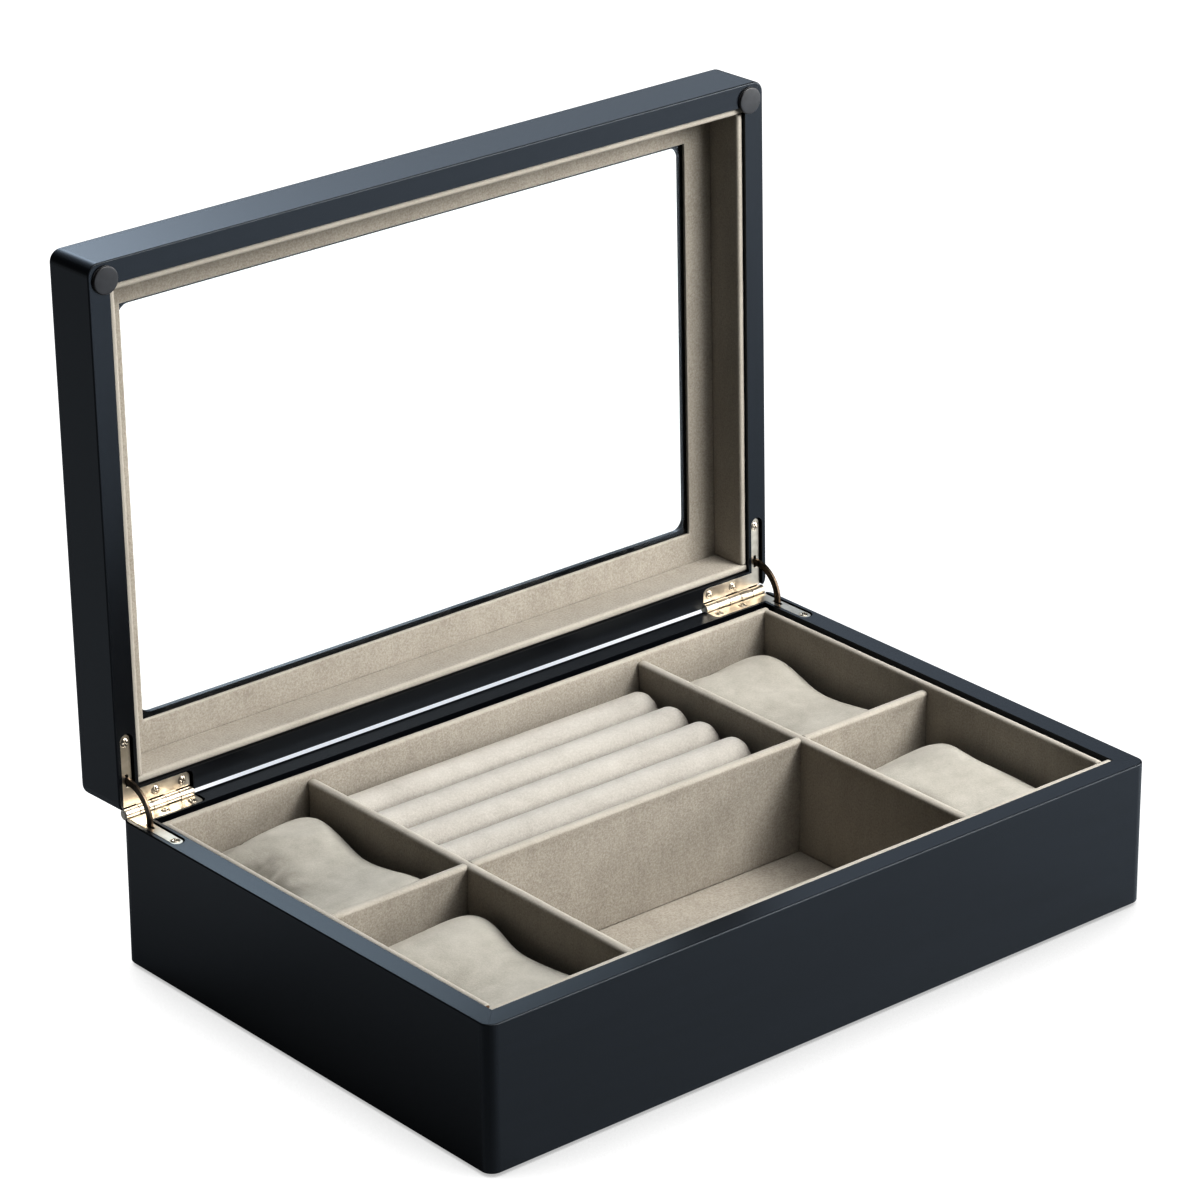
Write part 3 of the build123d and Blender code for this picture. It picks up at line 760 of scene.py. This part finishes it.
def fill_by_cloth(piece, low, high):
    """Remeshes a pillow evenly, blows it up as cloth and keeps each point within the cap.

    The cloth is worked out at several times the size, where it is steadier. It is pinned where
    it rests, and the result is kept inside the box.
    """
    remesh = piece.modifiers.new("remesh", "REMESH")
    remesh.mode = "VOXEL"
    remesh.voxel_size = cloth_voxel
    mesh = baked(piece, piece.name + "_even")
    piece.modifiers.clear()
    before = mesh_points(mesh)
    mesh.vertices.foreach_set("co", (before * cloth_scale).ravel())
    piece.data = mesh
    pins = piece.vertex_groups.new(name="pins")
    resting = np.flatnonzero(before[:, 2] < low[2] + cloth_pinned)
    pins.add(resting.tolist(), 1.0, "REPLACE")
    cloth = piece.modifiers.new("cloth", "CLOTH")
    cloth.settings.quality = 7
    cloth.settings.mass = 0.3
    cloth.settings.tension_stiffness = 18
    cloth.settings.compression_stiffness = 12
    cloth.settings.shear_stiffness = 6
    cloth.settings.bending_stiffness = 0.6
    cloth.settings.vertex_group_mass = "pins"
    cloth.settings.use_pressure = True
    cloth.settings.uniform_pressure_force = 4
    cloth.settings.effector_weights.gravity = 0
    cloth.point_cache.frame_start = 1
    cloth.point_cache.frame_end = cloth_frames
    for step in range(1, cloth_frames + 1):
        bpy.context.scene.frame_set(step)
    after = mesh_points(baked(piece, piece.name + "_blown")) / cloth_scale
    bpy.context.scene.frame_set(1)
    piece.modifiers.clear()
    move = after - before
    far = np.linalg.norm(move, axis=1, keepdims=True)
    after = before + move * np.minimum(1, cloth_cap / np.maximum(far, 1e-9))
    after = np.clip(after, low, high)
    mesh.vertices.foreach_set("co", after.ravel())


def watch_pillow(node, heights, draw, waist, lean, dimple, shade_mark):
    """One pillow: its shell, filled and smoothed, with a paler crown and a darker mark.

    The crown is painted paler, as wear and as a highlight, with the fourth power of the height.
    The mark is a bell of painted shade and pressed nap.
    """
    low, high = (np.array(corner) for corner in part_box(node))
    low[:2] -= pillow_clearance
    high[:2] += pillow_clearance
    shell = pillow_shell(low, high, heights, draw, waist, lean, dimple)
    high[2] += pillow_stands_proud
    no_wear_or_highlight = np.zeros(shell.shape[:2])
    pillow = skin("suede_" + node, shell, no_wear_or_highlight, pillow_suede, node + "_body")
    fill_by_cloth(pillow, low, high)
    points = mesh_points(pillow.data)
    height = np.clip((points[:, 2] - low[2]) / (max(heights) * MM), 0, 1)
    # The higher, the paler: crown wear and a painted highlight.
    write_value(pillow.data, "wear_and_highlight", height ** 4 * pillow_crown_wear_and_highlight)
    across = (points[:, 0] - (low[0] + high[0]) / 2) / MM
    # The mark: a bell of painted shade and pressed nap, on the flank away from the key light.
    back = (points[:, 1] - (low[1] + high[1]) / 2) / MM
    shaded_and_pressed = np.exp(-((across - shade_mark[0]) / shade_mark[2]) ** 2 - ((back - shade_mark[1]) / shade_mark[3]) ** 2)
    write_value(pillow.data, "shaded_and_pressed", shaded_and_pressed)
    pillow.data.materials.clear()
    pillow.data.materials.append(pillow_suede)
    pillow.data.shade_smooth()
    smooth = pillow.modifiers.new("smooth", "SUBSURF")
    smooth.levels = 1
    smooth.render_levels = 1
    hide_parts(node)


# Each pillow has its five heights, the waist's draw and place along v, and the two leans. Then
# come the dimple's depth, place across and back and two reaches, and the place across and back
# and two reaches of the mark of painted shade and pressed nap. Lengths are in millimetres, and
# places are from the middle.
for node, heights, draw, waist, lean, dimple, shade_mark in (
    ("watch_pillow_back_left", (32.0, 36.5, 34.6, 38.3, 33.6), 0.068, 0.10, (2.6, 2.7),
     (9.0, -27, 15, 14, 18), (-14, 14, 9, 19)),
    ("watch_pillow_front_left", (32.0, 32.0, 31.8, 35.4, 28.0), 0.106, 0.18, (2.0, 2.1),
     (5.0, -26, 0, 13, 20), (-18, 2, 6, 15)),
    ("watch_pillow_back_right", (33.0, 33.5, 33.0, 36.5, 34.0), 0.080, 0.10, (1.0, 1.5),
     (4.0, -26, 5, 14, 22), (-19, 6, 5, 14)),
    ("watch_pillow_front_right", (34.5, 33.0, 35.0, 35.2, 20.5), 0.096, 0.23, (2.3, 3.3),
     (3.0, -28, -6, 13, 20), (-18, -4, 6, 15)),
):
    watch_pillow(node, heights, draw, waist, lean, dimple, shade_mark)


# Lid walls and top frame
# The lid's own mitred frame and the flat frame that holds the glass, in the same lacquer.
# The lid stands open, so the grain of its side walls runs up and down.

for node, axis in (
    ("lid_front_wall", "x"), ("lid_back_wall", "x"),
    ("lid_left_wall", "z"), ("lid_right_wall", "z"), ("lid_top_frame", "x"),
):
    dress(node, lacquer_along[axis])


# Glass
# A clear pane of window glass, set into the lid against the top frame and held there by the
# border. Lamps shine through it.

def clear_glass():
    """Window glass with a few wiped smears; shadow, diffuse and glossy rays pass through."""
    material = new_material("pane_glass")
    place = add(material, "TexCoord").outputs["Object"]
    wiped = stretched(material, place, (26.0, 26.0, 9.0))
    smears = noise(material, wiped, 1.0, detail=5, distortion=1.2)
    body = add(material, "BsdfPrincipled", {
        "Base Color": (0.985, 0.995, 0.99, 1), "IOR": 1.5, "Specular IOR Level": 0.2,
        "Roughness": ranged(material, smears, 0.0, 0.03, 0.5, 0.9), "Transmission Weight": 1.0,
    })
    open_way = add(material, "BsdfTransparent", {"Color": (0.97, 0.985, 0.98, 1)})
    path = add(material, "LightPath").outputs
    passing = maths(material, "MAXIMUM", path["Is Shadow Ray"], path["Is Diffuse Ray"])
    passing = maths(material, "MAXIMUM", passing, path["Is Glossy Ray"])
    return finish_with(material, add(material, "MixShader", {
        0: passing, 1: body.outputs[0], 2: open_way.outputs[0],
    }))


dress("glass_pane", clear_glass())


# Lid boards
# Four suede-covered boards line the lid's walls. They are worked out with the lid shut and
# then turned open about the hinge pins. The lid shuts 0.4 degrees short of flat.

hinge = next(joint for joint in frame["joints"] if joint["name"] == "lid_hinge")
shut_short_of_flat = 0.4
lid_turn = math.radians(shut_short_of_flat - hinge["range_deg"][0])
pin_place = np.array(hinge["pos_m"])
open_matrix = np.array(Matrix.Rotation(-lid_turn, 3, "X"))
open_shift = pin_place - open_matrix @ pin_place


def turned_open(points):
    """Points of the shut lid, turned about the pins to where the open lid has them."""
    return points @ open_matrix.T + open_shift


def shut_points(node):
    """The points of a lid node, turned back to where they lie when the lid is shut."""
    return (mesh_points(frame["nodes"][node].data) - open_shift) @ open_matrix


def shut_box(node):
    """The lowest and highest corner of a lid node when the lid is shut."""
    points = shut_points(node)
    return points.min(axis=0), points.max(axis=0)


for number, (side, along) in enumerate(side_boards):
    node = "lid_" + side + "_lining"
    low, high = shut_box(node)
    board = wrapped(
        "suede_lid_" + side + "_board", low, high, along, -1, board_suede, "lid",
        70 + number, moved=turned_open,
    )
    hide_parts(node)


# Bumpers
# Two domed dots of black rubber, glued into the front corners of the lid's rim, which let
# the lid down softly.

bumper_rubber = rubber(
    "bumper_rubber", (0.004, 0.004, 0.005, 1), (0.017, 0.017, 0.020, 1), 0.34, 0.46, 0.6,
)
bumper_radius = 5.4 * MM
bumper_side_inset = 5.8 * MM
bumper_front_inset = 6.9 * MM
bumper_edge = 0.45 * MM
bumper_dome = 0.12 * MM


def turned_rings(radius, height, around):
    """A turned shape about Z: the profile's radii and heights, carried round in so many steps."""
    angle = np.linspace(0, 2 * math.pi, around, endpoint=False)
    rings = np.empty((len(radius), around, 3))
    rings[:, :, 0] = radius[:, None] * np.cos(angle)
    rings[:, :, 1] = radius[:, None] * np.sin(angle)
    rings[:, :, 2] = height[:, None]
    return rings


def bumper_rings(height):
    """A disc hanging down from 0: straight sides, an edge of a quarter circle, a slight dome."""
    turn = np.linspace(0, math.pi / 2, 6)
    radius = np.concatenate([[bumper_radius], bumper_radius - bumper_edge * (1 - np.cos(turn))])
    drop = np.concatenate([[0], height - bumper_edge * (1 - np.sin(turn))])
    share = np.linspace(1, 0.02, 9)[1:]
    radius = np.concatenate([radius, radius[-1] * share])
    drop = np.concatenate([drop, height + bumper_dome * (1 - share ** 2)])
    return turned_rings(radius, -drop, 72)


low, high = shut_box("lid_bumpers")
rim_low, rim_high = shut_box("lid_front_wall")
for side, edge, inward in (("left", rim_low[0], 1), ("right", rim_high[0], -1)):
    middle = (edge + inward * bumper_side_inset, rim_low[1] + bumper_front_inset, high[2])
    rings = turned_open(bumper_rings(high[2] - low[2] - bumper_dome) + middle)
    no_wear_or_highlight = np.zeros(rings.shape[:2])
    bumper = skin(side + "_bumper", rings, no_wear_or_highlight, bumper_rubber, "lid")
    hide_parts("lid_bumpers")


# Border round the glass
# A thin card ring under the glass, wrapped in the same suede, mitred at its corners and
# pressed in against the pane.

border_outer_radius = 0.3 * MM
border_inner_radius = 0.6 * MM
border_step = 2 * MM
border_slack = 0.10 * MM
border_ripple = (26 * MM, 90 * MM)

# The window's edge is the furthest point from the middle, along each axis, that is nearer
# than a line through the border.
border_line = (145 * MM, 90 * MM)
low, high = shut_box("lid_ceiling_lining")
middle = (high + low) / 2
from_middle = np.abs(shut_points("lid_ceiling_lining") - middle)
window_half = np.array([
    from_middle[from_middle[:, axis] < border_line[axis], axis].max() for axis in (0, 1)
])


def border_rings(low, high, middle, window_half):
    """A flat ring carried round a rectangle, and how pale its points are painted.

    Each point of the rounded section stands a distance w outside the window's edge, and the
    rectangle that it follows is the window grown by w on every side. The points painted paler,
    for wear and as a painted highlight, are on the rounding that faces the window from below.
    """
    border = (high[:2] - low[:2]) / 2 - window_half
    section, outward = rounded_section(
        border[0], high[2] - low[2], border_inner_radius, border_outer_radius, border_step,
    )
    out_share = section[:, 0] / border[0] + 0.5
    side = np.linspace(-1, 1, 60, endpoint=False)
    ones = np.ones_like(side)
    loop = np.vstack([
        np.stack([side, -ones], axis=1), np.stack([ones, side], axis=1),
        np.stack([-side, ones], axis=1), np.stack([-ones, -side], axis=1),
    ])
    reach = window_half[None, None, :] + out_share[None, :, None] * border[None, None, :]
    flat = loop[:, None, :] * reach
    sink = border_slack * ripples(flat[:, :, 0], flat[:, :, 1], 80, *border_ripple)
    rings = np.empty(flat.shape[:2] + (3,))
    rings[:, :, :2] = middle[:2] + flat
    rings[:, :, 2] = middle[2] + section[None, :, 1] - sink * outward[None, :, 1]
    # The inner rounding is painted paler: wear and a painted highlight.
    inner_low = (outward[:, 0] < 0) * (outward[:, 1] < 0)
    wear_and_highlight = np.abs(2 * outward[:, 0] * outward[:, 1]) * inner_low
    return rings, np.broadcast_to(wear_and_highlight, flat.shape[:2])


rings, wear_and_highlight = border_rings(low, high, middle, window_half)
border = skin(
    "suede_glass_border", turned_open(rings), wear_and_highlight, board_suede, "lid", closed=True,
)
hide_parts("lid_ceiling_lining")


# Hinges
# Nickel-plated leaves let into both rims, with their knuckles rolled round a plated pin.
# Raised screws with a cross slot hold them.

def nickel(name, brush):
    """Warm nickel plate: brushed along one axis, with small dulled patches and painted shade in its
    crevices.
    """
    material = new_material(name)
    place = add(material, "TexCoord").outputs["Object"]
    brushed = noise(material, stretched(material, place, brush), 1.0)
    dull = noise(material, place, 260.0, detail=1)
    soft_edge = add(material, "Bevel", {"Radius": 0.25 * MM}, samples=6)
    plate = blended(
        material, ranged(material, dull, 0.0, 1.0), (0.52, 0.46, 0.38, 1), (0.66, 0.60, 0.51, 1),
    )
    # Painted shade in the knuckle gaps, slots and other crevices, by ambient occlusion.
    crevice_open_share = add(material, "AmbientOcclusion", {"Distance": 1.0 * MM}, samples=6).outputs["AO"]
    out_of_painted_shade = ranged(material, crevice_open_share, 0.0, 1.0, 0.36, 0.70)
    colour = blended(material, out_of_painted_shade, (0.030, 0.026, 0.022, 1), plate)
    gloss = maths(material, "MULTIPLY_ADD", brushed, 0.05, ranged(material, dull, 0.27, 0.32))
    bump = add(material, "Bump", {
        "Strength": 0.3, "Distance": 0.003 * MM, "Height": brushed,
        "Normal": soft_edge.outputs["Normal"],
    })
    return finish_with(material, add(material, "BsdfPrincipled", {
        "Base Color": colour, "Metallic": 1.0, "Roughness": gloss, "Normal": bump.outputs["Normal"],
    }))


leaf_nickel = nickel("leaf_nickel", (1400.0, 160.0, 160.0))
screw_nickel = nickel("screw_nickel", (900.0, 900.0, 900.0))
for side in ("left", "right"):
    dress(side + "_hinge_base_leaf", leaf_nickel)
    dress(side + "_hinge_lid_leaf", leaf_nickel)
    dress(side + "_hinge_pin", screw_nickel)

leaf_gap = 1.7 * MM
arm_from_side = 4.9 * MM
arm_screw_reach = 28.4 * MM
back_screw_reach = 5.3 * MM
back_screw_inset = 17.4 * MM
back_screw_pitch = 12.4 * MM
screw_head_radius = 1.8 * MM
screw_dome = 0.62 * MM
screw_dome_share = 0.985
screw_slot_half_length = 1.15 * MM
screw_slot_half_width = 0.26 * MM
screw_slot_depth = 0.5 * MM
screw_slot_soft = 0.12 * MM
screw_shank_radius = np.array([0.25, 0.75, 0.9, 0.9, 1.75, 1.8]) * MM
screw_shank_height = np.array([-7.4, -6.6, -6.0, -0.95, -0.1, 0.0]) * MM


def screw_rings(turn):
    """A raised countersunk screw about the origin, standing along +Z with its head's rim at 0.

    The profile runs up the shank, out along the cone and in over the dome, which is a parabola.
    The cross is where the smaller of |x| and |y| is under the slot's half width and the larger
    under its half length; there the dome is lowered, with a soft step at the sides.
    """
    share = np.linspace(0, 1, 16)[1:]
    dome_radius = screw_head_radius * (1 - share * screw_dome_share)
    dome_height = screw_dome * (1 - (dome_radius / screw_head_radius) ** 2)
    radius = np.concatenate([screw_shank_radius, dome_radius])
    height = np.concatenate([screw_shank_height, dome_height])
    rings = turned_rings(radius, height, 64)
    along = np.maximum(np.abs(rings[:, :, 0]), np.abs(rings[:, :, 1]))
    beside = np.minimum(np.abs(rings[:, :, 0]), np.abs(rings[:, :, 1]))
    inside = np.clip((screw_slot_half_width - beside) / screw_slot_soft + 0.5, 0, 1)
    inside *= np.clip((screw_slot_half_length - along) / screw_slot_soft + 0.5, 0, 1)
    inside[:len(screw_shank_radius)] = 0
    rings[:, :, 2] -= screw_slot_depth * inside
    turned = rings.copy()
    turned[:, :, 0] = rings[:, :, 0] * math.cos(turn) - rings[:, :, 1] * math.sin(turn)
    turned[:, :, 1] = rings[:, :, 0] * math.sin(turn) + rings[:, :, 1] * math.cos(turn)
    return turned


case_half_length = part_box("base_right_wall")[1].x
screw_spots = [
    (case_half_length - arm_from_side, pin_place[1] - arm_screw_reach),
    (case_half_length - back_screw_inset, pin_place[1] - back_screw_reach),
    (case_half_length - back_screw_inset - back_screw_pitch, pin_place[1] - back_screw_reach),
]
screw_draw = np.random.RandomState(90)
for side_name, side in (("left", -1), ("right", 1)):
    for number, (x, y) in enumerate(screw_spots, start=1):
        for rim, body, up in (("base", "case", 1), ("lid", "lid", -1)):
            rings = screw_rings(screw_draw.uniform(0, math.pi / 2))
            rings[:, :, 2] = pin_place[2] + up * (rings[:, :, 2] - leaf_gap / 2)
            rings[:, :, 0] += side * x
            rings[:, :, 1] += y
            if body == "lid":
                rings = turned_open(rings)
            name = "_".join((side_name, rim, "hinge_screw", str(number)))
            no_wear_or_highlight = np.zeros(rings.shape[:2])
            screw = skin(name, rings, no_wear_or_highlight, screw_nickel, body)
            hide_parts(rim + "_hinge_screws")


# Stays
# A thin curved strip of browned steel at each hinge slides through slots in both leaves and
# stops the lid by the hooks at its ends.

def browned_steel():
    """Dark browned steel with scuffed streaks."""
    material = new_material("browned_steel")
    place = add(material, "TexCoord").outputs["Object"]
    scuffs = noise(material, place, 480.0, detail=5, roughness=0.7, distortion=0.8)
    soft_edge = add(material, "Bevel", {"Radius": 0.3 * MM}, samples=4)
    colour = blended(
        material, ranged(material, scuffs, 0.0, 1.0),
        (0.055, 0.040, 0.030, 1), (0.20, 0.155, 0.115, 1),
    )
    bump = add(material, "Bump", {
        "Strength": 0.5, "Distance": 0.02 * MM, "Height": scuffs,
        "Normal": soft_edge.outputs["Normal"],
    })
    return finish_with(material, add(material, "BsdfPrincipled", {
        "Base Color": colour, "Metallic": 1.0, "Roughness": ranged(material, scuffs, 0.26, 0.45),
        "Normal": bump.outputs["Normal"],
    }))


stay_steel = browned_steel()
for side in ("left", "right"):
    dress(side + "_stay", stay_steel)
